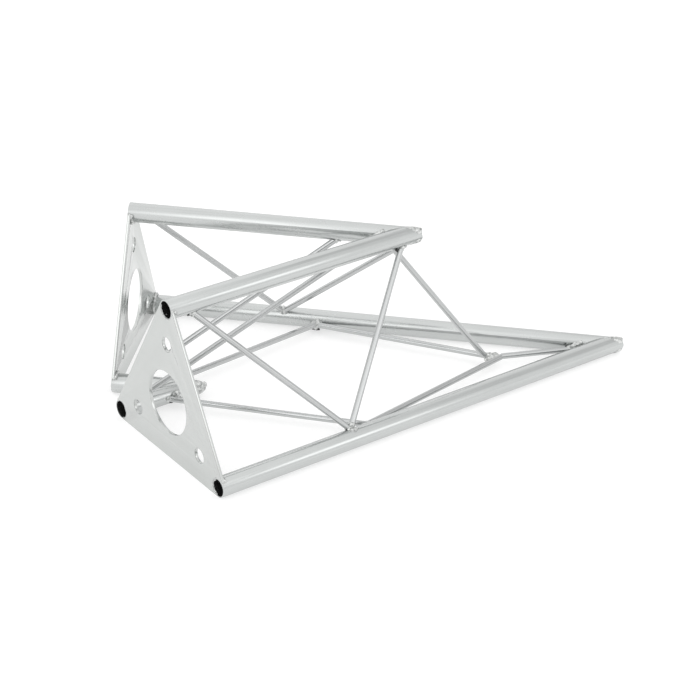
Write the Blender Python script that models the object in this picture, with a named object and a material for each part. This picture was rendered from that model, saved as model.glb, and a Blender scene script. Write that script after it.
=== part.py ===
"""A 45 degree corner section of a small triangular lighting truss.

Two short arms of three welded tubes meet in a mitre. Each arm ends in a flat
triangular end plate, and thin round rods lace the chords together.

Corner frame: X runs along the bisector of the two arms, out through the point
of the corner. Z is up. The outer bottom chords' centre lines meet at (0, 0, 0).
Arm "a" runs towards -Y and arm "b" towards +Y, both away towards -X.
A station is a distance from the corner point measured along an arm.
All sizes are in metres.
"""

import math

import bmesh
import bpy
from mathutils import Matrix, Vector

# Driving dimensions of the section
CHORD_SPACING = 0.156        # centre to centre, on all three sides of the triangle
CHORD_DIAMETER = 0.018
CHORD_WALL = 0.0012
ARM_LENGTH = 0.440           # corner point to the outer face of an end plate
CORNER_ANGLE = math.radians(45)
ROD_DIAMETER = 0.0055

# End plates
PLATE_THICKNESS = 0.003
CABLE_HOLE_DIAMETER = 0.059
BOLT_HOLE_DIAMETER = 0.014
BOLT_HOLE_FROM_CENTRE = 0.0568

# The blunt noses of the mitre. Each outline lies in the plane of the mitre and runs from
# top to bottom, as (X, Z) from the crossing of that pair of chords' centre lines.
NOSE_OUTLINE = {
    "outer": (
        (0.0126, 0.0074),
        (0.0142, 0.0064),
        (0.0159, 0.0026),
        (0.0165, 0.0004),
        (0.0163, -0.0016),
        (0.0142, -0.0048),
        (0.0118, -0.0072),
    ),
    "top": (
        (0.0082, 0.0076),
        (0.0142, 0.0042),
        (0.0163, 0.0018),
        (0.0170, -0.0012),
        (0.0163, -0.0042),
        (0.0146, -0.0066),
    ),
    "inner": ((0.0210, 0.0035), (0.0224, 0.0016), (0.0224, -0.0016), (0.0210, -0.0035)),
}

# Lacing. Stations are where a rod's centre line crosses a chord's centre line,
# and a knee is where two rods meet on the outer bottom chord.
OUTER_START_STATION = {"a": 0.4236, "b": 0.4262}
OUTER_KNEE_STATION = {"a": 0.2985, "b": 0.3095}
OUTER_END_STATION = {"a": 0.1878, "b": 0.1774}
OUTER_KNEE_HEIGHT = 0.0085
BOTTOM_START_STATION = {"a": 0.4025, "b": 0.3990}
BOTTOM_KNEE_STATION = {"a": 0.2740, "b": 0.2770}
BOTTOM_CROSSING_X = {"a": -0.1030, "b": -0.1110}
INNER_LOW_STATION = {"a": 0.4388, "b": 0.4290}
INNER_HIGH_STATION = {"a": 0.2439, "b": 0.2391}
MITRE_BRACE_TOP_X = -0.2220
MITRE_BRACE_FOOT_X = -0.1190
MITRE_STRUT_START_X = -0.1040

# Making
JOINT_GAP = 0.0003           # between pieces that a weld joins
CHORD_SEGMENTS = 48
ROD_SEGMENTS = 24
CABLE_HOLE_SEGMENTS = 72
BOLT_HOLE_SEGMENTS = 36
SCOOP_SEGMENTS = 24
SMOOTH_ANGLE = math.radians(30)

# Derived sizes
CHORD_RADIUS = CHORD_DIAMETER / 2
BORE_RADIUS = CHORD_RADIUS - CHORD_WALL
ROD_RADIUS = ROD_DIAMETER / 2
HALF_ANGLE = CORNER_ANGLE / 2
TRIANGLE_HEIGHT = CHORD_SPACING * math.sqrt(3) / 2
CLEAR_RADIUS = CHORD_RADIUS + JOINT_GAP
BOTTOM_KNEE_HEIGHT = CLEAR_RADIUS + ROD_RADIUS
SIDES = {"a": -1, "b": 1}
UP = Vector((0, 0, 1))
BISECTOR = Vector((1, 0, 0))
ACROSS = Vector((0, 1, 0))


def clear_scene():
    for obj in list(bpy.data.objects):
        bpy.data.objects.remove(obj, do_unlink=True)


def make_material(name, color, roughness):
    material = bpy.data.materials.new(name)
    material.use_nodes = True
    shader = material.node_tree.nodes["Principled BSDF"]
    shader.inputs["Base Color"].default_value = (*color, 1)
    shader.inputs["Roughness"].default_value = roughness
    shader.inputs["Metallic"].default_value = 1.0
    return material


def make_root():
    """An empty that stands the section on Z = 0 with its box centred on the Z axis."""
    reach_back = ARM_LENGTH * math.cos(HALF_ANGLE)
    reach_back += (CHORD_SPACING + CHORD_RADIUS) * math.sin(HALF_ANGLE)
    root = bpy.data.objects.new("truss_corner", None)
    reach_out = max(x for x, z in NOSE_OUTLINE["outer"])
    root.location = ((reach_back - reach_out) / 2, 0, CHORD_RADIUS)
    bpy.context.scene.collection.objects.link(root)
    return root


def along(arm):
    """Direction of an arm, away from the corner."""
    return Vector((-math.cos(HALF_ANGLE), SIDES[arm] * math.sin(HALF_ANGLE), 0))


def inward(arm):
    """Level direction across an arm, from its outer bottom chord to its inner one."""
    return Vector((-math.sin(HALF_ANGLE), -SIDES[arm] * math.cos(HALF_ANGLE), 0))


def chord_offset(arm, chord):
    """From the outer bottom chord's centre line to that chord's, across the arm."""
    if chord == "outer":
        return Vector((0, 0, 0))
    if chord == "inner":
        return inward(arm) * CHORD_SPACING
    return inward(arm) * CHORD_SPACING / 2 + UP * TRIANGLE_HEIGHT


def chord_point(arm, chord, station):
    return chord_offset(arm, chord) + along(arm) * station


def face_direction(arm, chord, other):
    """Unit direction across a face of the arm, from one chord to the other."""
    return (chord_offset(arm, other) - chord_offset(arm, chord)).normalized()


def frame_matrix(origin, forward, side):
    """Local Z along forward and local X along side, with its origin at origin."""
    z_axis = forward.normalized()
    x_axis = (side - z_axis * side.dot(z_axis)).normalized()
    y_axis = z_axis.cross(x_axis)
    turn = Matrix((x_axis, y_axis, z_axis)).transposed()
    return Matrix.Translation(origin) @ turn.to_4x4()


def cylinder(length, radius, segments, overrun=0.0):
    """A closed cylinder on local Z, from -overrun to length + overrun."""
    mesh = bmesh.new()
    middle = Matrix.Translation((0, 0, length / 2))
    bmesh.ops.create_cone(
        mesh,
        cap_ends=True,
        segments=segments,
        radius1=radius,
        radius2=radius,
        depth=length + 2 * overrun,
        matrix=middle,
    )
    return mesh


def cut_off(mesh, point, normal):
    """Removes what lies beyond the plane, on the side its normal points to."""
    parts = mesh.verts[:] + mesh.edges[:] + mesh.faces[:]
    bmesh.ops.bisect_plane(
        mesh, geom=parts, dist=1e-7, plane_co=point, plane_no=normal, clear_outer=True
    )
    rim = [edge for edge in mesh.edges if edge.is_boundary]
    if rim:
        bmesh.ops.holes_fill(mesh, edges=rim, sides=0)


def face_outwards(mesh):
    bmesh.ops.recalc_face_normals(mesh, faces=mesh.faces[:])
    if mesh.calc_volume(signed=True) < 0:
        bmesh.ops.reverse_faces(mesh, faces=mesh.faces[:])


def add_object(name, mesh, matrix, root, material):
    """Turns a bmesh in the corner frame into an object that has its own origin."""
    face_outwards(mesh)
    mesh.transform(matrix.inverted())
    data = bpy.data.meshes.new(name)
    mesh.to_mesh(data)
    mesh.free()
    data.shade_smooth()
    data.set_sharp_from_angle(angle=SMOOTH_ANGLE)
    if material:
        data.materials.append(material)
    obj = bpy.data.objects.new(name, data)
    bpy.context.scene.collection.objects.link(obj)
    obj.parent = root
    obj.matrix_local = matrix
    return obj


def make_bore(name, matrix, length, root):
    """The cutter that hollows out a chord. It runs past both ends."""
    mesh = cylinder(length, BORE_RADIUS, CHORD_SEGMENTS, overrun=CHORD_DIAMETER)
    mesh.transform(matrix)
    cutter = add_object(name + "_bore", mesh, matrix, root, None)
    cutter.hide_render = True
    cutter.display_type = "WIRE"
    return cutter


def make_chord(arm, chord, root, material):
    """A tube from the end plate's outer face to the mitre, its point cut back to a nose."""
    name = f"chord_{chord}_{arm}"
    end = chord_point(arm, chord, ARM_LENGTH)
    side = SIDES[arm]
    crossing_x = -chord_offset(arm, chord).dot(inward(arm)) / math.sin(HALF_ANGLE)
    crossing = Vector((crossing_x, 0, chord_offset(arm, chord).z))
    run = crossing - end
    overrun = CHORD_RADIUS / math.tan(HALF_ANGLE) + CHORD_DIAMETER
    length = run.length + overrun
    matrix = frame_matrix(end, run, inward(arm))

    mesh = cylinder(length, CHORD_RADIUS, CHORD_SEGMENTS)
    mesh.transform(matrix)
    cut_off(mesh, crossing + ACROSS * side * JOINT_GAP / 2, -ACROSS * side)
    outline = NOSE_OUTLINE[chord]
    for (x, z), (next_x, next_z) in zip(outline, outline[1:]):
        outwards = Vector((z - next_z, 0, next_x - x))
        cut_off(mesh, crossing + Vector((x, 0, z)), outwards)
    tube = add_object(name, mesh, matrix, root, material)

    hollow = tube.modifiers.new("bore", "BOOLEAN")
    hollow.operation = "DIFFERENCE"
    hollow.object = make_bore(name, matrix, length, root)
    return tube


def circle_points(centre, radius, segments):
    turns = [2 * math.pi * i / segments for i in range(segments)]
    return [centre + Vector((math.cos(t), math.sin(t))) * radius for t in turns]


def plate_corners():
    """Chord centres in the plate's own plane, measured from its middle."""
    radius = CHORD_SPACING / math.sqrt(3)
    turns = [math.radians(angle) for angle in (90, 210, 330)]
    return [Vector((math.cos(t), math.sin(t))) * radius for t in turns]


def plate_outline():
    """Straight edges level with the chords' outsides, scooped out round each chord."""
    points = []
    for corner in plate_corners():
        inwards = (-corner).normalized()
        heading = math.atan2(inwards.y, inwards.x)
        # The scoop ends where its circle crosses the plate's two straight edges.
        spread = math.radians(120) - math.acos(CHORD_RADIUS / CLEAR_RADIUS)
        for i in range(SCOOP_SEGMENTS + 1):
            turn = heading + spread * (1 - 2 * i / SCOOP_SEGMENTS)
            points.append(corner + Vector((math.cos(turn), math.sin(turn))) * CLEAR_RADIUS)
    return points


def add_loop(curve, points):
    spline = curve.splines.new("POLY")
    spline.points.add(len(points) - 1)
    for spot, point in zip(spline.points, points):
        spot.co = (point.x, point.y, 0, 1)
    spline.use_cyclic_u = True


def make_plate(arm, root, material):
    """A flat triangle with a cable hole in the middle and a bolt hole near each corner."""
    curve = bpy.data.curves.new(f"end_plate_{arm}", "CURVE")
    curve.dimensions = "2D"
    curve.fill_mode = "BOTH"
    curve.extrude = PLATE_THICKNESS / 2
    add_loop(curve, plate_outline())
    add_loop(curve, circle_points(Vector((0, 0)), CABLE_HOLE_DIAMETER / 2, CABLE_HOLE_SEGMENTS))
    for corner in plate_corners():
        centre = corner.normalized() * BOLT_HOLE_FROM_CENTRE
        add_loop(curve, circle_points(centre, BOLT_HOLE_DIAMETER / 2, BOLT_HOLE_SEGMENTS))
    curve.materials.append(material)

    plate = bpy.data.objects.new(curve.name, curve)
    bpy.context.scene.collection.objects.link(plate)
    plate.parent = root
    middle = along(arm) * (ARM_LENGTH - PLATE_THICKNESS / 2)
    middle += inward(arm) * CHORD_SPACING / 2 + UP * TRIANGLE_HEIGHT / 3
    plate.matrix_local = frame_matrix(middle, along(arm), UP.cross(along(arm)))
    return plate


def make_rod(name, start, end, cuts, root, material):
    """A straight rod whose ends are cut by planes, each a point and an outward normal."""
    run = end - start
    matrix = frame_matrix(start, run, UP if abs(run.normalized().z) < 0.9 else BISECTOR)
    mesh = cylinder(run.length, ROD_RADIUS, ROD_SEGMENTS, overrun=CHORD_DIAMETER)
    mesh.transform(matrix)
    for point, normal in cuts:
        cut_off(mesh, point, normal)
    return add_object(name, mesh, matrix, root, material)


def cut_at_chord(arm, chord, other):
    """The plane just clear of a chord, on the side that faces the other chord."""
    across = face_direction(arm, chord, other)
    return chord_point(arm, chord, 0) + across * CLEAR_RADIUS, -across


def cut_at_knee(knee, this_end, other_end):
    """The plane that halves the angle between two rods, half a gap into this one."""
    normal = ((other_end - knee).normalized() - (this_end - knee).normalized()).normalized()
    return knee - normal * JOINT_GAP / 2, normal


def make_outer_lacing(arm, root, material):
    """Two rods in the sloping outer face: top chord, outer bottom chord, top chord."""
    start = chord_point(arm, "top", OUTER_START_STATION[arm])
    knee = chord_point(arm, "outer", OUTER_KNEE_STATION[arm])
    knee += face_direction(arm, "outer", "top") * OUTER_KNEE_HEIGHT
    end = chord_point(arm, "top", OUTER_END_STATION[arm])
    low = cut_at_chord(arm, "outer", "top")
    high = cut_at_chord(arm, "top", "outer")
    first = [low, high, cut_at_knee(knee, start, end)]
    second = [low, high, cut_at_knee(knee, end, start)]
    make_rod(f"lacing_outer_{arm}1", start, knee, first, root, material)
    make_rod(f"lacing_outer_{arm}2", knee, end, second, root, material)


def make_bottom_lacing(arm, root, material):
    """Two rods in the level face: inner chord, outer chord, then the middle of the corner."""
    start = chord_point(arm, "inner", BOTTOM_START_STATION[arm])
    knee = chord_point(arm, "outer", BOTTOM_KNEE_STATION[arm])
    knee += inward(arm) * BOTTOM_KNEE_HEIGHT
    end = Vector((BOTTOM_CROSSING_X[arm], 0, 0))
    outer = cut_at_chord(arm, "outer", "inner")
    inner = cut_at_chord(arm, "inner", "outer")
    middle = (ACROSS * SIDES[arm] * JOINT_GAP / 2, -ACROSS * SIDES[arm])
    front = (BISECTOR * (MITRE_STRUT_START_X - JOINT_GAP), BISECTOR)
    first = [outer, inner, cut_at_knee(knee, start, end)]
    second = [outer, middle, front, cut_at_knee(knee, end, start)]
    make_rod(f"lacing_bottom_{arm}1", start, knee, first, root, material)
    make_rod(f"lacing_bottom_{arm}2", knee, end, second, root, material)


def make_inner_brace(arm, root, material):
    """One rod in the sloping inner face, from the inner bottom chord up to the top chord."""
    low = chord_point(arm, "inner", INNER_LOW_STATION[arm])
    high = chord_point(arm, "top", INNER_HIGH_STATION[arm])
    cuts = [cut_at_chord(arm, "inner", "top"), cut_at_chord(arm, "top", "inner")]
    make_rod(f"brace_inner_{arm}", low, high, cuts, root, material)


def make_mitre_braces(root, material):
    """Two rods in the plane of the mitre: down from the top point, then out to the tip."""
    top = Vector((MITRE_BRACE_TOP_X, 0, TRIANGLE_HEIGHT))
    foot = Vector((MITRE_BRACE_FOOT_X, 0, 0))
    under_top = (UP * (TRIANGLE_HEIGHT - CLEAR_RADIUS), UP)
    over_lacing = (UP * (ROD_RADIUS + JOINT_GAP), -UP)
    make_rod("mitre_brace", top, foot, [under_top, over_lacing], root, material)

    start = Vector((MITRE_STRUT_START_X, 0, 0))
    end = Vector((-CLEAR_RADIUS / math.sin(HALF_ANGLE), 0, 0))
    square_end = (start, -BISECTOR)
    crotch = [cut_at_chord(arm, "outer", "inner") for arm in SIDES]
    make_rod("mitre_strut", start, end, [square_end, *crotch], root, material)


def main():
    clear_scene()
    root = make_root()
    plate_steel = make_material("plate_steel", (0.62, 0.63, 0.62), 0.32)
    tube_steel = make_material("tube_steel", (0.64, 0.65, 0.65), 0.25)
    rod_steel = make_material("rod_steel", (0.58, 0.59, 0.59), 0.28)
    for arm in SIDES:
        make_plate(arm, root, plate_steel)
        for chord in NOSE_OUTLINE:
            make_chord(arm, chord, root, tube_steel)
        make_outer_lacing(arm, root, rod_steel)
        make_bottom_lacing(arm, root, rod_steel)
        make_inner_brace(arm, root, rod_steel)
    make_mitre_braces(root, rod_steel)


main()
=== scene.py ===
"""Looks for the 45 degree truss corner: zinc-bright steel tubes, rods and plates, with their welds.

Everything is in metres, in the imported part's frame: X runs out through the point of the corner,
Z is up, and the section stands on Z = 0. Arm "a" runs towards -Y and arm "b" towards +Y.
"""

import math
import random

import bmesh
import bpy
from mathutils import Matrix, Vector, noise


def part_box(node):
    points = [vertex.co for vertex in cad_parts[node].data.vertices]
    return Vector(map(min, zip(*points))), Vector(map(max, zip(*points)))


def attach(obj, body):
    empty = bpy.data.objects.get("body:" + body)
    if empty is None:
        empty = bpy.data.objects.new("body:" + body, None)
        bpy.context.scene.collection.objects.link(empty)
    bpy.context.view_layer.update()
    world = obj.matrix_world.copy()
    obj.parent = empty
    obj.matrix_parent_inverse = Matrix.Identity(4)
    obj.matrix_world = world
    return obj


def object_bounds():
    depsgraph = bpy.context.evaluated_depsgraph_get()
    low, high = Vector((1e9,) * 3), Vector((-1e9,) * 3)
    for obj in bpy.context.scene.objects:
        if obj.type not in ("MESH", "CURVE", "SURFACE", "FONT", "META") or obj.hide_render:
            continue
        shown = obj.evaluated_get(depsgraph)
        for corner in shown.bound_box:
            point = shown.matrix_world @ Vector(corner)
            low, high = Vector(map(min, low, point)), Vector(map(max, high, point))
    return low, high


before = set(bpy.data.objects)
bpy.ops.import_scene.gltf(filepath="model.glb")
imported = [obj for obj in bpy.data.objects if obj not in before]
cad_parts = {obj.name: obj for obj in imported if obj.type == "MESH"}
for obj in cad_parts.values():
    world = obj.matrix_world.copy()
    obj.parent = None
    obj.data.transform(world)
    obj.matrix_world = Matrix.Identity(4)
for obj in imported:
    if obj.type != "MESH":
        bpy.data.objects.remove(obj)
CAD_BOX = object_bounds()
CAD_LOW, CAD_HIGH = CAD_BOX

# The camera
CAMERA_LOCATION = Vector((-0.47025, -1.70272, 1.01951))
CAMERA_AZIMUTH = math.radians(-14.6788)
CAMERA_ELEVATION = math.radians(29.2898)
CAMERA_ROLL = math.radians(1.5861)
CAMERA_LENS = 113.14
SENSOR_WIDTH = 36.0
CLIP_START = 0.05
CLIP_END = 50

# The section's own sizes, as its solids have them
HALF_ANGLE = math.radians(22.5)
CHORD_RADIUS = 0.009
ROD_RADIUS = 0.00275
PLATE_THICKNESS = 0.003
BORE_RADIUS = 0.0078
ARMS = ("a", "b")
CHORDS = ("outer", "top", "inner")
SIDES = {"a": -1, "b": 1}

UP = Vector((0, 0, 1))


def make_camera():
    data = bpy.data.cameras.new("camera")
    data.lens = CAMERA_LENS
    data.sensor_width = SENSOR_WIDTH
    data.clip_start = CLIP_START
    data.clip_end = CLIP_END
    camera = bpy.data.objects.new("camera", data)
    level = Vector((math.sin(CAMERA_AZIMUTH), -math.cos(CAMERA_AZIMUTH), 0))
    back = level * math.cos(CAMERA_ELEVATION) + UP * math.sin(CAMERA_ELEVATION)
    right = Vector((math.cos(CAMERA_AZIMUTH), math.sin(CAMERA_AZIMUTH), 0))
    up = back.cross(right)
    turn = Matrix((right, up, back)).transposed() @ Matrix.Rotation(CAMERA_ROLL, 3, "Z")
    camera.matrix_world = Matrix.Translation(CAMERA_LOCATION) @ turn.to_4x4()
    bpy.context.scene.collection.objects.link(camera)
    bpy.context.scene.camera = camera


# Studio light: a bright room with patches that are brighter or dimmer than the rest.
# Each patch has its azimuth from +Y towards +X, its elevation, the angles from its middle
# at which it starts to fade and ends, and what it adds.
ROOM_LEVEL = 1.05
PATCHES = (
    (-134, 27, 7, 20, 0.75),
    (-136, 48, 6, 20, 0.38),
    (136, 27, 8, 14, 0.80),
    (168, 52, 6, 18, 0.52),
    (-174, 15, 14, 26, -0.40),
    (68, 40, 14, 38, -0.25),
    (-60, 86, 10, 45, 0.12),
    (-2, 40, 6, 22, 0.15),
    (-70, 4, 12, 36, 0.22),
)


def direction(azimuth, elevation):
    a = math.radians(azimuth)
    e = math.radians(elevation)
    return Vector((math.sin(a) * math.cos(e), math.cos(a) * math.cos(e), math.sin(e)))


def add_node(tree, kind, inputs=None, **settings):
    """Adds a node, sets its properties, and links or sets its inputs."""
    node = tree.nodes.new(kind)
    for name, value in settings.items():
        setattr(node, name, value)
    for name, value in (inputs or {}).items():
        if isinstance(value, bpy.types.NodeSocket):
            tree.links.new(value, node.inputs[name])
        else:
            node.inputs[name].default_value = value
    return node


def make_room():
    world = bpy.data.worlds.new("room")
    world.use_nodes = True
    bpy.context.scene.world = world
    tree = world.node_tree
    tree.nodes.clear()
    look = add_node(tree, "ShaderNodeTexCoord").outputs["Generated"]
    level = ROOM_LEVEL
    for azimuth, elevation, full, end, strength in PATCHES:
        axis = direction(azimuth, elevation)
        dot = add_node(tree, "ShaderNodeVectorMath", {0: look, 1: axis}, operation="DOT_PRODUCT")
        near = add_node(
            tree,
            "ShaderNodeMapRange",
            {
                "Value": dot.outputs["Value"],
                "From Min": math.cos(math.radians(end)),
                "From Max": math.cos(math.radians(full)),
            },
            interpolation_type="SMOOTHSTEP",
        )
        terms = {0: near.outputs[0], 1: strength, 2: level}
        level = add_node(tree, "ShaderNodeMath", terms, operation="MULTIPLY_ADD").outputs[0]
    background = add_node(tree, "ShaderNodeBackground", {"Strength": level})
    background.inputs["Color"].default_value = (1.0, 1.0, 1.0, 1)
    add_node(tree, "ShaderNodeOutputWorld", {"Surface": background.outputs[0]})


FLOOR_HALF_SIZE = 12.0
FLOOR_LEVEL = -0.0002
FLOOR_COLOR = (0.5, 0.5, 0.5)
FLOOR_ROUGHNESS = 0.85
FLOOR_GLOW = 0.58


def make_floor():
    mesh = bpy.data.meshes.new("floor")
    signs = ((-1, -1), (1, -1), (1, 1), (-1, 1))
    corners = [(x * FLOOR_HALF_SIZE, y * FLOOR_HALF_SIZE, FLOOR_LEVEL) for x, y in signs]
    mesh.from_pydata(corners, [], [(0, 1, 2, 3)])
    floor = bpy.data.objects.new("floor", mesh)
    bpy.context.scene.collection.objects.link(floor)
    material = bpy.data.materials.new("floor_white")
    material.use_nodes = True
    shader = material.node_tree.nodes["Principled BSDF"]
    shader.inputs["Base Color"].default_value = (*FLOOR_COLOR, 1)
    shader.inputs["Roughness"].default_value = FLOOR_ROUGHNESS
    shader.inputs["Specular IOR Level"].default_value = 0.0
    shader.inputs["Emission Color"].default_value = (1, 1, 1, 1)
    shader.inputs["Emission Strength"].default_value = FLOOR_GLOW
    mesh.materials.append(material)


# How the edges of the solids are finished, where the folds are sharper than SMOOTH_ANGLE
MERGE_DISTANCE = 1e-5
SMOOTH_ANGLE = math.radians(35)
PLATE_BEVEL = 0.00035
TUBE_BEVEL = 0.00025


def smooth_group():
    """Geometry nodes that smooth the faces and keep the edges that are folded more sharply sharp."""
    group = bpy.data.node_groups.new("smooth_by_angle", "GeometryNodeTree")
    group.interface.new_socket("Geometry", in_out="INPUT", socket_type="NodeSocketGeometry")
    group.interface.new_socket("Geometry", in_out="OUTPUT", socket_type="NodeSocketGeometry")
    source = add_node(group, "NodeGroupInput")
    angle = add_node(group, "GeometryNodeInputMeshEdgeAngle")
    gentle = add_node(
        group,
        "FunctionNodeCompare",
        {"A": angle.outputs["Unsigned Angle"], "B": SMOOTH_ANGLE},
        data_type="FLOAT",
        operation="LESS_THAN",
    )
    faces = add_node(
        group, "GeometryNodeSetShadeSmooth", {"Geometry": source.outputs[0]}, domain="FACE"
    )
    edges = add_node(
        group,
        "GeometryNodeSetShadeSmooth",
        {"Geometry": faces.outputs[0], "Shade Smooth": gentle.outputs[0]},
        domain="EDGE",
    )
    add_node(group, "NodeGroupOutput", {0: edges.outputs[0]})
    return group


def finish_edges(obj, group, bevel):
    """Rounds a solid's sharp edges slightly and shades it smooth."""
    for name in ("custom_normal", "sharp_edge", "sharp_face"):
        found = obj.data.attributes.get(name)
        if found:
            obj.data.attributes.remove(found)
    weld = obj.modifiers.new("weld", "WELD")
    weld.merge_threshold = MERGE_DISTANCE
    if bevel:
        edge = obj.modifiers.new("edge", "BEVEL")
        edge.width = bevel
        edge.segments = 2
        edge.limit_method = "ANGLE"
        edge.angle_limit = SMOOTH_ANGLE
        edge.harden_normals = False
    smooth = obj.modifiers.new("smooth", "NODES")
    smooth.node_group = group


# Bright zinc over steel, for each kind of piece: its colour, and how far the fine lines along it
# and its cloudy coat vary that colour. The coat makes it this much smoother or rougher too.
PLATE_STEEL = {"color": (0.575, 0.59, 0.58), "streak": 0.015, "mottle": 0.02}
TUBE_STEEL = {"color": (0.555, 0.57, 0.565), "streak": 0.03, "mottle": 0.02}
ROD_STEEL = {"color": (0.51, 0.52, 0.52), "streak": 0.04, "mottle": 0.03}
PLATE_ROUGHNESS = 0.18
TUBE_ROUGHNESS = {"a": 0.2, "b": 0.26}
ROD_ROUGHNESS = 0.2
SMOOTHER = 0.04
ROUGHER = 0.05

# The noise textures: how fine they are, and the values that they seldom leave
LINE_SCALE = 900
LINE_STRETCH = 0.012
CLOUD_SCALE = 38
GRAIN_SCALE = 2600
NOISE_LOW = 0.3
NOISE_HIGH = 0.7

# Painted shade inside a tube: whatever is nearer its centre line than BORE_EDGE is painted near black,
# for the shade deep in the bore
BORE_EDGE = 0.0080
BORE_SHADE_COLOR = (0.012, 0.012, 0.012)


def make_noise(tree, place, scale, detail):
    """Adds a noise texture and gives back its value."""
    inputs = {"Vector": place, "Scale": scale, "Detail": detail}
    return add_node(tree, "ShaderNodeTexNoise", inputs).outputs["Fac"]


def stretch_noise(tree, value, low, high):
    """Stretches a noise texture's usual values over the range from low to high."""
    usual = {"Value": value, "From Min": NOISE_LOW, "From Max": NOISE_HIGH}
    wanted = {"To Min": low, "To Max": high}
    return add_node(tree, "ShaderNodeMapRange", usual | wanted).outputs[0]


def make_steel(name, axis, roughness, color, streak, mottle, bore_centre=None):
    """Bright zinc over steel: fine lines along the piece, a cloudy coat and a satin grain."""
    material = bpy.data.materials.new(name)
    material.use_nodes = True
    tree = material.node_tree
    shader = tree.nodes["Principled BSDF"]
    shader.inputs["Metallic"].default_value = 1.0
    place = add_node(tree, "ShaderNodeTexCoord").outputs["Object"]
    turn = axis.to_track_quat("Z", "Y").inverted().to_euler()
    turned = add_node(tree, "ShaderNodeMapping", {"Vector": place, "Rotation": turn}).outputs[0]
    stretch = {"Vector": turned, "Scale": (1, 1, LINE_STRETCH)}
    stretched = add_node(tree, "ShaderNodeMapping", stretch).outputs[0]
    lines = make_noise(tree, stretched, LINE_SCALE, 4)
    clouds = make_noise(tree, place, CLOUD_SCALE, 5)
    grain = make_noise(tree, place, GRAIN_SCALE, 2)

    tints = {
        0: stretch_noise(tree, clouds, 1 - mottle, 1 + mottle),
        1: stretch_noise(tree, lines, 1 - streak, 1 + streak),
    }
    tint = add_node(tree, "ShaderNodeMath", tints, operation="MULTIPLY").outputs[0]
    tinted = {0: color, "Scale": tint}
    base = add_node(tree, "ShaderNodeVectorMath", tinted, operation="SCALE").outputs[0]
    tree.links.new(base, shader.inputs["Base Color"])
    rough = stretch_noise(tree, clouds, roughness - SMOOTHER, roughness + ROUGHER)
    tree.links.new(rough, shader.inputs["Roughness"])
    ridges = {"Height": lines, "Strength": 0.25, "Distance": 0.00006}
    ridged = add_node(tree, "ShaderNodeBump", ridges).outputs[0]
    satin = {"Height": grain, "Strength": 0.2, "Distance": 0.00003, "Normal": ridged}
    tree.links.new(add_node(tree, "ShaderNodeBump", satin).outputs[0], shader.inputs["Normal"])
    # Painted shade: a tube's bore is darkened to near black
    if bore_centre:
        paint_bore_shade(tree, shader, base, place, axis, bore_centre)
    return material


def paint_bore_shade(tree, shader, color, place, axis, centre):
    """Paints shade into a tube's bore: darkens what is close to its centre line to near black, and takes
    its metal shine away.
    """
    from_centre = {0: place, 1: centre}
    offset = add_node(tree, "ShaderNodeVectorMath", from_centre, operation="SUBTRACT").outputs[0]
    turned = {0: offset, 1: axis}
    sideways = add_node(tree, "ShaderNodeVectorMath", turned, operation="CROSS_PRODUCT").outputs[0]
    distance = add_node(tree, "ShaderNodeVectorMath", {0: sideways}, operation="LENGTH")
    compared = {0: distance.outputs["Value"], 1: BORE_EDGE}
    inside = add_node(tree, "ShaderNodeMath", compared, operation="LESS_THAN").outputs[0]
    mixed = add_node(tree, "ShaderNodeMix", {"Factor": inside}, data_type="RGBA")
    tree.links.new(color, mixed.inputs["A"])
    mixed.inputs["B"].default_value = (*BORE_SHADE_COLOR, 1)
    tree.links.new(mixed.outputs["Result"], shader.inputs["Base Color"])
    metal = add_node(tree, "ShaderNodeMath", {0: 1.0, 1: inside}, operation="SUBTRACT")
    tree.links.new(metal.outputs[0], shader.inputs["Metallic"])


def along(arm):
    """The level direction of an arm, away from the corner."""
    return Vector((-math.cos(HALF_ANGLE), SIDES[arm] * math.sin(HALF_ANGLE), 0))


def inwards(arm):
    """The level direction from an arm's outer chord to its inner chord."""
    return Vector((-math.sin(HALF_ANGLE), -SIDES[arm] * math.cos(HALF_ANGLE), 0))


def run_of(node):
    """The direction a long straight piece runs in, from the ends of its vertices."""
    points = [vertex.co for vertex in node.data.vertices]
    first = points[0]
    far = max(points, key=lambda p: (p - first).length)
    near = max(points, key=lambda p: (p - far).length)
    return (far - near).normalized()


def tube_centre(name):
    """A point on a chord's centre line: the middle of the tube end that meets the plate."""
    low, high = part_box(name)
    reach = CHORD_RADIUS * math.sin(HALF_ANGLE)
    drop = CHORD_RADIUS * math.cos(HALF_ANGLE)
    y = low.y + drop if SIDES[name[-1]] < 0 else high.y - drop
    return Vector((low.x + reach, y, (low.z + high.z) / 2))


def dress_frame():
    """Finishes the edges of the section's own solids and gives each its steel."""
    group = smooth_group()
    for name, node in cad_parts.items():
        arm = name[-1]
        zinc = "zinc_" + name
        if name.startswith("end_plate"):
            material = make_steel(zinc, inwards(arm), PLATE_ROUGHNESS, **PLATE_STEEL)
            bevel = PLATE_BEVEL
        elif name.startswith("chord"):
            centre = tube_centre(name)
            material = make_steel(
                zinc, along(arm), TUBE_ROUGHNESS[arm], bore_centre=centre, **TUBE_STEEL
            )
            bevel = TUBE_BEVEL
        else:
            material = make_steel(zinc, run_of(node), ROD_ROUGHNESS, **ROD_STEEL)
            bevel = 0
        finish_edges(node, group, bevel)
        node.data.materials.clear()
        node.data.materials.append(material)


# Welds. Each is grown from a list of round drops into closed metal: a drop has a centre, a
# radius and how much painted shade it carries, from 0 to 1. Painted shade is near black, for the
# shade in notches and under the welds. A weld stays BOX_MARGIN inside the section's box, and
# on a plate's outer face it is dressed down to FLUSH below that face.
WELD_VOXEL = 0.00036
WELD_RIPPLE = 0.00022
RIPPLE_SCALE = 780
BOX_MARGIN = 0.0001
FLUSH = 0.00004

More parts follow.
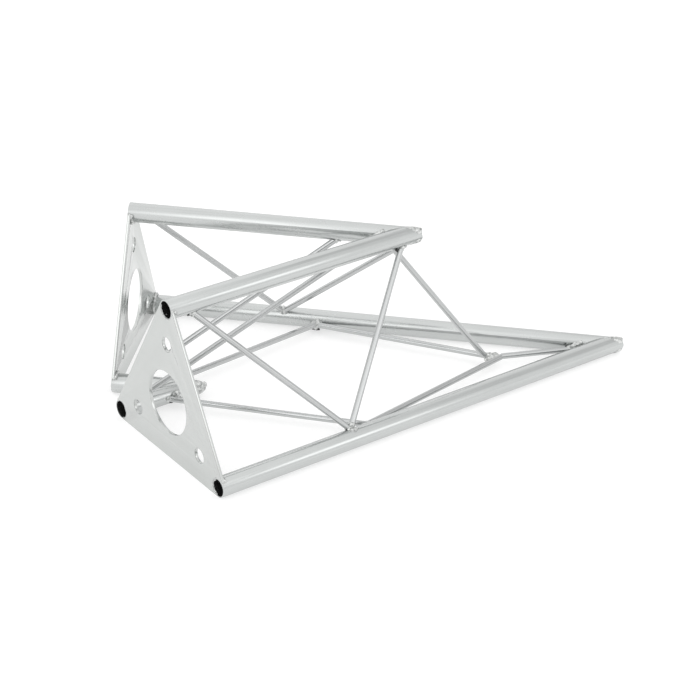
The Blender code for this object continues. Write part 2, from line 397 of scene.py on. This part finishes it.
# The look of the weld metal: its dark and bright patches, and the range of its roughness
WELD_DARK = (0.34, 0.35, 0.345)
WELD_BRIGHT = (0.70, 0.71, 0.70)
DARK_UNTIL = 0.34
BRIGHT_FROM = 0.60
PATCH_SCALE = 420
FINE_SCALE = 1900
WELD_SMOOTH = 0.18
WELD_ROUGH = 0.36
# Painted shade: the near-black colour put where shade falls in notches and under the welds
PAINTED_SHADE_COLOR = (0.02, 0.02, 0.02)

# The turn, up from level, at which the middle of a chord's plate lies seen from the chord
PLATE_HEADING = {"outer": 30, "top": -90, "inner": 30}

# The fillet between a chord and the inner face of its plate: how far it goes round to each
# side and between drops, in degrees, and the drops' place off the plate and off the tube
FILLET_SPAN = 96
FILLET_STEP = 7
FILLET_OFF_PLATE = 0.0006
FILLET_OFF_TUBE = 0.0005
FILLET_RADIUS = 0.0016

# The ring that fills the gap round a chord on the plate's outer face: how far it goes round to
# each side and between drops, in degrees, and the depth under the face, the height over the
# tube and the radius of its drops, at the gap's mouth and at its root
RING_SPAN = 104
RING_STEP = 4
RING_MOUTH = (0.0006, 0.0001, 0.0010)
RING_ROOT = (0.0008, -0.0008, 0.0009)

# The seam round a mitre, which stops NOSE_MARGIN before the nose
SEAM_STEPS = 220
SEAM_SPACING = 0.0011
SEAM_RADIUS = 0.0044
SEAM_PROUD = 0.00026
NOSE_MARGIN = 0.0015

# The seam's crotch starts where the cosine of the turn, from the nose, is -CROTCH_FROM. From
# there to its middle the seam grows this much thinner, prouder and less straight.
CROTCH_FROM = 0.68
CROTCH_SPAN = 0.32
CROTCH_THINNER = 0.0024
CROTCH_PROUDER = 0.0009
CROTCH_WANDER = 0.0006

# How a mitre's blunt nose is rounded off: half its height, how far it is rounded back, and
# how far the weld over it stands proud at its top
NOSES = {
    "outer": (0.0072, 0.0046, 0.0002),
    "top": (0.0072, 0.0050, 0.0004),
    "inner": (0.0038, 0.0020, 0.0020),
}

# The drops of that weld: how far they go up and down, in degrees, their radius, and the radius
# of the larger drops that join them from behind
NOSE_SPAN = 78
NOSE_STEP = 9
NOSE_RADIUS = 0.0019
NOSE_CORE = 0.0022

# Where the web of weld in a mitre's inside corner starts and ends, from the point of that corner.
# The outer one lies on the rod that ends there, and has a near-black drop of painted shade where it
# starts, for the shade in that notch.
WEBS = {"outer": (-0.0142, -0.0030), "top": (-0.0070, 0.0035), "inner": (-0.0070, 0.0035)}
WEB_STEPS = 8
WEB_RADIUS = 0.0021
WEB_WANDER = 0.0010
WEB_HEIGHT = 0.0014
WEB_RISE = 0.0052
WEB_SHADE_DROP = Vector((-0.0156, 0.0020, 0.0024))
WEB_SHADE_DROP_RADIUS = 0.0014

# The size of the weld at a rod's end against a full one: the usual size, and the smaller ones
USUAL_SIZE = 0.88
WELD_SIZES = {
    "weld_bottom_start_a": 0.6,
    "weld_brace_top_b": 0.66,
    "weld_outer_end_b": 0.66,
    "weld_outer_start_a": 0.8,
}

# The weld at a rod's end: a core under the end, a foot of drops on the chord and a collar of
# drops on the rod. A slanting rod's foot is stretched along the chord, down to this slope.
ROD_WELD_STEPS = 9
LEAST_SLOPE = 0.78
CORE_RADIUS = 0.0026
FOOT_RADIUS = 0.0016
FOOT_GAP = 0.0004
COLLAR_RADIUS = 0.0013
COLLAR_OFFSET = 0.0021
COLLAR_HEIGHT = 0.0016
KNEE_RADIUS = 0.0026

# The weld in the middle of the corner: a ridge that starts at the brace's foot and goes this
# share of the way to the strut, with lower drops to both sides
RIDGE_STEPS = 6
RIDGE_SHARE = 0.68
RIDGE_RADIUS = 0.0029
FLANK_RADIUS = 0.0020
FLANK_OFFSET = 0.0034

# Whatever is uneven about the welds is drawn from this one sequence.
draw = random.Random(45)


def level_of(name):
    """The level direction from a chord into its own arm, square to it."""
    chord, arm = name.split("_")[1:]
    return -inwards(arm) if chord == "inner" else inwards(arm)


def on_chord(name, distance, turn, height=0.0):
    """A point over a chord's surface: distance from its plate end, and turn in degrees up from level."""
    run = -along(name[-1])
    angle = math.radians(turn)
    outwards = level_of(name) * math.cos(angle) + UP * math.sin(angle)
    return tube_centre(name) + run * distance + outwards * (CHORD_RADIUS + height)


def over_chord(name, point):
    """The place on a chord's centre line nearest a point, and the direction from there to the point."""
    run = -along(name[-1])
    centre = tube_centre(name)
    nearest = centre + run * (point - centre).dot(run)
    return nearest, (point - nearest).normalized()


def crossing(chord):
    """Where the centre lines of a chord's two arms cross."""
    centre = tube_centre(f"chord_{chord}_a")
    run = -along("a")
    return centre + run * (-centre.y / run.y)


def rod_ends(name):
    """The two ends of a rod's centre line."""
    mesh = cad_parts[name].data
    points = [vertex.co.copy() for vertex in mesh.vertices]
    edges = [points[b] - points[a] for a, b in (edge.vertices for edge in mesh.edges)]
    run = max(edges, key=lambda edge: edge.length).normalized()
    across = run.orthogonal().normalized()
    sides = (across, run.cross(across))
    middle = Vector((0, 0, 0))
    for side in sides:
        spread = [point.dot(side) for point in points]
        middle += side * (min(spread) + max(spread)) / 2
    spread = [point.dot(run) for point in points]
    return middle + run * min(spread), middle + run * max(spread)


def end_on(rod, chord):
    """The end of a rod that is nearer a chord's centre line, and the direction from it along the rod."""
    first, last = rod_ends(rod)
    if (last - over_chord(chord, last)[0]).length < (first - over_chord(chord, first)[0]).length:
        first, last = last, first
    return first, (last - first).normalized()


def grow(obj):
    """Joins an object's overlapping balls into one skin and lets it settle."""
    join = obj.modifiers.new("join", "REMESH")
    join.mode = "VOXEL"
    join.voxel_size = WELD_VOXEL
    settle = obj.modifiers.new("settle", "SMOOTH")
    settle.factor = 0.5
    settle.iterations = 5
    graph = bpy.context.evaluated_depsgraph_get()
    skin = bpy.data.meshes.new_from_object(obj.evaluated_get(graph))
    obj.modifiers.clear()
    obj.data = skin
    return skin


def roughen(skin, limits):
    """Ripples the skin, and dresses it flush with the planes that it may not pass."""
    normals = [vertex.normal.copy() for vertex in skin.vertices]
    low = CAD_LOW + Vector((BOX_MARGIN,) * 3)
    high = CAD_HIGH - Vector((BOX_MARGIN,) * 3)
    for vertex, normal in zip(skin.vertices, normals):
        place = vertex.co + normal * WELD_RIPPLE * noise.noise(vertex.co * RIPPLE_SCALE)
        for point, outwards in limits:
            past = (place - point).dot(outwards)
            if past > 0:
                place -= outwards * past
        for axis in range(3):
            place[axis] = min(max(place[axis], low[axis]), high[axis])
        vertex.co = place


def paint_shade(skin, drops):
    """Marks each point of the skin with the painted shade of the drop that it came from."""
    painted_shade = skin.attributes.new("painted_shade", "FLOAT", "POINT")
    for vertex, mark in zip(skin.vertices, painted_shade.data):
        nearest = min(drops, key=lambda drop: (vertex.co - drop[0]).length - drop[1])
        mark.value = nearest[2]


def make_weld(name, drops, material, limits=()):
    """Makes one weld from its drops, dressed flush with the planes in limits."""
    balls = bmesh.new()
    for centre, radius, painted_shade in drops:
        bmesh.ops.create_icosphere(
            balls, subdivisions=2, radius=radius, matrix=Matrix.Translation(centre)
        )
    mesh = bpy.data.meshes.new(name)
    balls.to_mesh(mesh)
    balls.free()
    weld = bpy.data.objects.new(name, mesh)
    bpy.context.scene.collection.objects.link(weld)
    skin = grow(weld)
    skin.name = name
    roughen(skin, limits)
    if any(painted_shade for centre, radius, painted_shade in drops):
        paint_shade(skin, drops)
    skin.shade_smooth()
    skin.materials.clear()
    skin.materials.append(material)
    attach(weld, "root")


def vary(size, share=0.15):
    """A size that differs from the given one by up to a share of it."""
    return size * (1 + draw.uniform(-share, share))


def plate_drops(name):
    """The fillet between a chord and the inner face of its plate, as far as the plate goes round."""
    heading = PLATE_HEADING[name.split("_")[1]]
    drops = []
    for turn in range(-FILLET_SPAN, FILLET_SPAN + 1, FILLET_STEP):
        distance = PLATE_THICKNESS + vary(FILLET_OFF_PLATE, 0.5)
        centre = on_chord(name, distance, heading + turn, vary(FILLET_OFF_TUBE, 0.5))
        radius = vary(FILLET_RADIUS)
        if centre.z > radius:
            drops.append((centre, radius, 0))
    return drops


# Where weld metal has run over the rim of a bore: the turn from the plate's side, and the
# drop's radius
RIM_DROPS = {
    "chord_outer_a": ((12, 0.0017), (24, 0.0013), (-14, 0.0010)),
    "chord_top_a": ((4, 0.0011), (-16, 0.0009)),
    "chord_inner_a": ((0, 0.0016), (-16, 0.0012), (14, 0.0010)),
    "chord_outer_b": ((-6, 0.0013), (16, 0.0010)),
    "chord_top_b": ((10, 0.0012), (-12, 0.0011)),
    "chord_inner_b": ((4, 0.0014), (22, 0.0010)),
}


def face_drops(name):
    """What fills the gap round a chord on the plate's outer face and has run over the bore's rim."""
    heading = PLATE_HEADING[name.split("_")[1]]
    drops = []
    depth, height, radius = RING_MOUTH
    root_depth, root_height, root_radius = RING_ROOT
    for turn in range(-RING_SPAN, RING_SPAN + 1, RING_STEP):
        drops.append((on_chord(name, depth, heading + turn, height), radius, 0))
        root = on_chord(name, root_depth, heading + turn, root_height)
        drops.append((root, vary(root_radius, 0.1), 0))
    rim = BORE_RADIUS - CHORD_RADIUS
    for turn, radius in RIM_DROPS[name]:
        drops.append((on_chord(name, radius * 0.6, heading + turn, rim), radius, 0))
    return drops


def seam_drops(chord):
    """The seam round a mitre: a bead in the crotch that runs out into a dressed, flush seam."""
    centre = crossing(chord)
    wide = CHORD_RADIUS / math.sin(HALF_ANGLE)
    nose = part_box(f"chord_{chord}_a")[1].x - centre.x
    drops = []
    last = None
    for step in range(SEAM_STEPS):
        turn = 2 * math.pi * step / SEAM_STEPS
        ring = Vector((wide * math.cos(turn), 0, CHORD_RADIUS * math.sin(turn)))
        room = nose - ring.x
        if room < NOSE_MARGIN or (last and (ring - last).length < SEAM_SPACING):
            continue
        last = ring
        outwards = Vector((math.cos(turn) / wide, 0, math.sin(turn) / CHORD_RADIUS)).normalized()
        crotch = max(0.0, -math.cos(turn) - CROTCH_FROM) / CROTCH_SPAN
        radius = min(SEAM_RADIUS - CROTCH_THINNER * crotch * vary(1, 0.2), room * 1.3)
        proud = SEAM_PROUD + CROTCH_PROUDER * crotch
        wander = Vector((0, draw.uniform(-CROTCH_WANDER, CROTCH_WANDER) * crotch, 0))
        drops.append((centre + ring + outwards * (proud - radius) + wander, radius, 0))
    return drops


def nose_drops(chord):
    """The weld that closes the end of a mitre."""
    half_height, depth, proud = NOSES[chord]
    centre = crossing(chord)
    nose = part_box(f"chord_{chord}_a")[1].x
    drops = []
    for turn in range(-NOSE_SPAN, NOSE_SPAN + 1, NOSE_STEP):
        angle = math.radians(turn)
        radius = vary(NOSE_RADIUS, 0.12)
        lift = proud * max(0, math.sin(angle)) - radius
        x = nose - depth + (depth + lift) * math.cos(angle)
        z = (half_height + lift) * math.sin(angle)
        drops.append((Vector((x, draw.uniform(-0.0003, 0.0003), centre.z + z)), radius, 0))
        drops.append((Vector((x - NOSE_CORE, 0, centre.z + z * 0.8)), NOSE_CORE, 0))
    return drops


def rod_drops(rod, chord, size):
    """The fillet round a rod's end on a chord."""
    end, run = end_on(rod, chord)
    nearest, outwards = over_chord(chord, end)
    lengthways = along(chord[-1])
    sideways = lengthways.cross(outwards)
    slope = max(abs(run.dot(outwards)), LEAST_SLOPE)
    core = nearest + outwards * (CHORD_RADIUS + 0.0006) + run * 0.001
    drops = [(core, CORE_RADIUS * size, 0)]
    for step in range(ROD_WELD_STEPS):
        angle = 2 * math.pi * step / ROD_WELD_STEPS
        reach = lengthways * math.cos(angle) / slope + sideways * math.sin(angle)
        place = nearest + outwards * CHORD_RADIUS + reach * (ROD_RADIUS + FOOT_GAP) * size
        below, away = over_chord(chord, place)
        foot = below + away * (CHORD_RADIUS + vary(FOOT_GAP, 0.6))
        drops.append((foot, vary(FOOT_RADIUS, 0.2) * size, 0))
        around = (reach - run * reach.dot(run)).normalized()
        collar = end + run * vary(COLLAR_HEIGHT, 0.5) + around * COLLAR_OFFSET
        drops.append((collar, vary(COLLAR_RADIUS, 0.2) * size, 0))
    return drops


def crotch_drops(chord):
    """The web of weld in the sharp inside corner of a mitre, over and under the centre line."""
    begin, finish = WEBS[chord]
    centre = crossing(chord)
    crotch = centre.x - CHORD_RADIUS / math.sin(HALF_ANGLE)
    drops = []
    # The outer web starts with a near-black drop of painted shade in the notch
    if chord == "outer":
        drops.append((Vector((crotch, 0, centre.z)) + WEB_SHADE_DROP, WEB_SHADE_DROP_RADIUS, 1))
    for step in range(WEB_STEPS):
        share = step / (WEB_STEPS - 1)
        x = crotch + begin + (finish - begin) * share
        for side in (1, -1):
            z = centre.z + side * (WEB_HEIGHT + WEB_RISE * share)
            place = Vector((x, draw.uniform(-WEB_WANDER, WEB_WANDER), z))
            drops.append((place, vary(WEB_RADIUS, 0.2), 0))
    return drops


# Where the welds at the rods' ends have run or were built up: on which chord, the distance from
# its plate end, the turn, the height over its surface, the drop's radius and its painted shade,
# 1 for a near-black drop that stands for the shade in a notch or under a weld
EXTRA_DROPS = {
    "weld_outer_start_a": (
        ("chord_top_a", 0.0200, -116, 0.0002, 0.0014, 1),
        ("chord_top_a", 0.0196, -128, 0.0002, 0.0012, 1),
        ("chord_top_a", 0.0250, -114, 0.0006, 0.0017, 0),
        ("chord_top_a", 0.0256, -126, 0.0004, 0.0016, 0),
    ),
    "weld_bottom_start_a": (
        ("chord_inner_a", 0.0520, 14, 0.0016, 0.0050, 0),
        ("chord_inner_a", 0.0478, 2, 0.0006, 0.0015, 1),
        ("chord_inner_a", 0.0460, -25, 0.0004, 0.0011, 1),
        ("chord_inner_a", 0.0474, -24, 0.0004, 0.0014, 1),
        ("chord_inner_a", 0.0490, -22, 0.0004, 0.0013, 1),
    ),
    "weld_outer_knee_a": (
        ("chord_outer_a", 0.1398, 92, 0.0000, 0.0022, 0),
        ("chord_outer_a", 0.1420, 98, 0.0000, 0.0024, 0),
        ("chord_outer_a", 0.1444, 92, -0.0004, 0.0021, 0),
        ("chord_outer_a", 0.1425, 72, 0.0030, 0.0030, 0),
        ("chord_outer_a", 0.1376, 62, 0.0002, 0.0015, 1),
    ),
    "weld_outer_knee_b": (
        ("chord_outer_b", 0.1270, 76, 0.0006, 0.0024, 0),
        ("chord_outer_b", 0.1300, 66, 0.0024, 0.0028, 0),
        ("chord_outer_b", 0.1335, 60, 0.0008, 0.0022, 0),
    ),
    "weld_bottom_knee_b": (
        ("chord_outer_b", 0.1600, 8, 0.0030, 0.0026, 0),
        ("chord_outer_b", 0.1655, 6, 0.0034, 0.0028, 0),
        ("chord_outer_b", 0.1630, -16, 0.0030, 0.0024, 0),
        ("chord_outer_b", 0.1640, 20, 0.0012, 0.0022, 0),
        ("chord_outer_b", 0.1592, -29, 0.0030, 0.0009, 1),
        ("chord_outer_b", 0.1606, -28, 0.0030, 0.0012, 1),
        ("chord_outer_b", 0.1620, -28, 0.0030, 0.0014, 1),
        ("chord_outer_b", 0.1634, -28, 0.0030, 0.0015, 1),
        ("chord_outer_b", 0.1648, -28, 0.0030, 0.0013, 1),
        ("chord_outer_b", 0.1661, -29, 0.0030, 0.0010, 1),
    ),
    "weld_outer_end_a": (
        ("chord_top_a", 0.2402, -120, 0.0012, 0.0016, 1),
        ("chord_top_a", 0.2455, -112, 0.0006, 0.0022, 0),
    ),
}


def knee_drops(rods, chord):
    """What fills the notch between two rods that meet on a chord."""
    ends = [end_on(rod, chord) for rod in rods]
    middle = (ends[0][0] + ends[1][0]) / 2
    between = (ends[0][1] + ends[1][1]).normalized()
    return [(middle + between * lift, KNEE_RADIUS, 0) for lift in (0.0005, 0.0028)]


def weld_plates(material):
    for arm in ARMS:
        end = tube_centre(f"chord_outer_{arm}") - along(arm) * FLUSH
        for chord in CHORDS:
            name = f"chord_{chord}_{arm}"
            make_weld(f"weld_plate_{chord}_{arm}", plate_drops(name), material)
            limits = [(end, along(arm))]
            make_weld(f"weld_face_{chord}_{arm}", face_drops(name), material, limits)


def weld_mitres(material):
    for chord in CHORDS:
        drops = seam_drops(chord)
        drops += crotch_drops(chord)
        make_weld(f"weld_mitre_{chord}", drops, material)
        make_weld(f"weld_nose_{chord}", nose_drops(chord), material)


def weld_rods(material):
    for arm in ARMS:
        outer, top, inner = [f"chord_{chord}_{arm}" for chord in CHORDS]
        first, second = f"lacing_outer_{arm}1", f"lacing_outer_{arm}2"
        third, fourth = f"lacing_bottom_{arm}1", f"lacing_bottom_{arm}2"
        joints = (
            ("weld_outer_start", top, (first,)),
            ("weld_outer_knee", outer, (first, second)),
            ("weld_outer_end", top, (second,)),
            ("weld_bottom_start", inner, (third,)),
            ("weld_bottom_knee", outer, (third, fourth)),
            ("weld_brace_foot", inner, (f"brace_inner_{arm}",)),
            ("weld_brace_top", top, (f"brace_inner_{arm}",)),
        )
        for kind, chord, rods in joints:
            name = f"{kind}_{arm}"
            drops = []
            for rod in rods:
                drops += rod_drops(rod, chord, WELD_SIZES.get(name, USUAL_SIZE))
            if len(rods) == 2:
                drops += knee_drops(rods, chord)
            for place, distance, turn, height, radius, painted_shade in EXTRA_DROPS.get(name, ()):
                drops.append((on_chord(place, distance, turn, height), radius, painted_shade))
            make_weld(name, drops, material)


def weld_middle(material):
    """The rods that meet in the middle of the corner, and the brace's end under the top point."""
    foot = min(rod_ends("mitre_brace"), key=lambda end: end.z)
    start = min(rod_ends("mitre_strut"), key=lambda end: end.x)
    far = foot.lerp(start, RIDGE_SHARE) + UP * 0.0010
    drops = []
    for step in range(RIDGE_STEPS):
        place = (foot + UP * 0.0008).lerp(far, step / (RIDGE_STEPS - 1))
        place += Vector((0, draw.uniform(-0.0012, 0.0012), draw.uniform(-0.0004, 0.0008)))
        drops.append((place, vary(RIDGE_RADIUS, 0.12), 0))
        for side in (1, -1):
            flank = Vector((place.x, side * vary(FLANK_OFFSET), start.z + vary(0.0006, 1.0)))
            drops.append((flank, vary(FLANK_RADIUS), 0))
    make_weld("weld_middle", drops, material)

    drops = []
    for arm in ARMS:
        drops += rod_drops("mitre_brace", f"chord_top_{arm}", USUAL_SIZE)
    make_weld("weld_mitre_brace_top", drops, material)


def make_weld_metal():
    """Bright, uneven weld metal with the zinc over it, and painted shade, near black and without shine,
    in its deepest notches and under it.
    """
    material = bpy.data.materials.new("weld_metal")
    material.use_nodes = True
    tree = material.node_tree
    shader = tree.nodes["Principled BSDF"]
    place = add_node(tree, "ShaderNodeTexCoord").outputs["Object"]
    patches = make_noise(tree, place, PATCH_SCALE, 4)
    fine = make_noise(tree, place, FINE_SCALE, 3)
    shade = add_node(tree, "ShaderNodeValToRGB", {"Fac": patches})
    ramp = shade.color_ramp
    ramp.elements[0].position = DARK_UNTIL
    ramp.elements[0].color = (*WELD_DARK, 1)
    ramp.elements[1].position = BRIGHT_FROM
    ramp.elements[1].color = (*WELD_BRIGHT, 1)
    # Painted shade: where a drop carries it, the weld is painted near black and is not metal
    painted_shade = add_node(tree, "ShaderNodeAttribute", attribute_name="painted_shade").outputs["Fac"]
    mixed = add_node(tree, "ShaderNodeMix", {"Factor": painted_shade}, data_type="RGBA")
    tree.links.new(shade.outputs["Color"], mixed.inputs["A"])
    mixed.inputs["B"].default_value = (*PAINTED_SHADE_COLOR, 1)
    tree.links.new(mixed.outputs["Result"], shader.inputs["Base Color"])
    unshaded = add_node(tree, "ShaderNodeMath", {0: 1.0, 1: painted_shade}, operation="SUBTRACT")
    tree.links.new(unshaded.outputs[0], shader.inputs["Metallic"])
    rough = stretch_noise(tree, fine, WELD_SMOOTH, WELD_ROUGH)
    tree.links.new(rough, shader.inputs["Roughness"])
    bumps = {"Height": fine, "Strength": 0.5, "Distance": 0.00016}
    tree.links.new(add_node(tree, "ShaderNodeBump", bumps).outputs[0], shader.inputs["Normal"])
    return material


def make_welds():
    material = make_weld_metal()
    weld_plates(material)
    weld_mitres(material)
    weld_rods(material)
    weld_middle(material)


def set_view():
    scene = bpy.context.scene
    scene.view_settings.view_transform = "Standard"
    scene.view_settings.look = "None"


make_camera()
make_room()
make_floor()
make_welds()
dress_frame()
set_view()
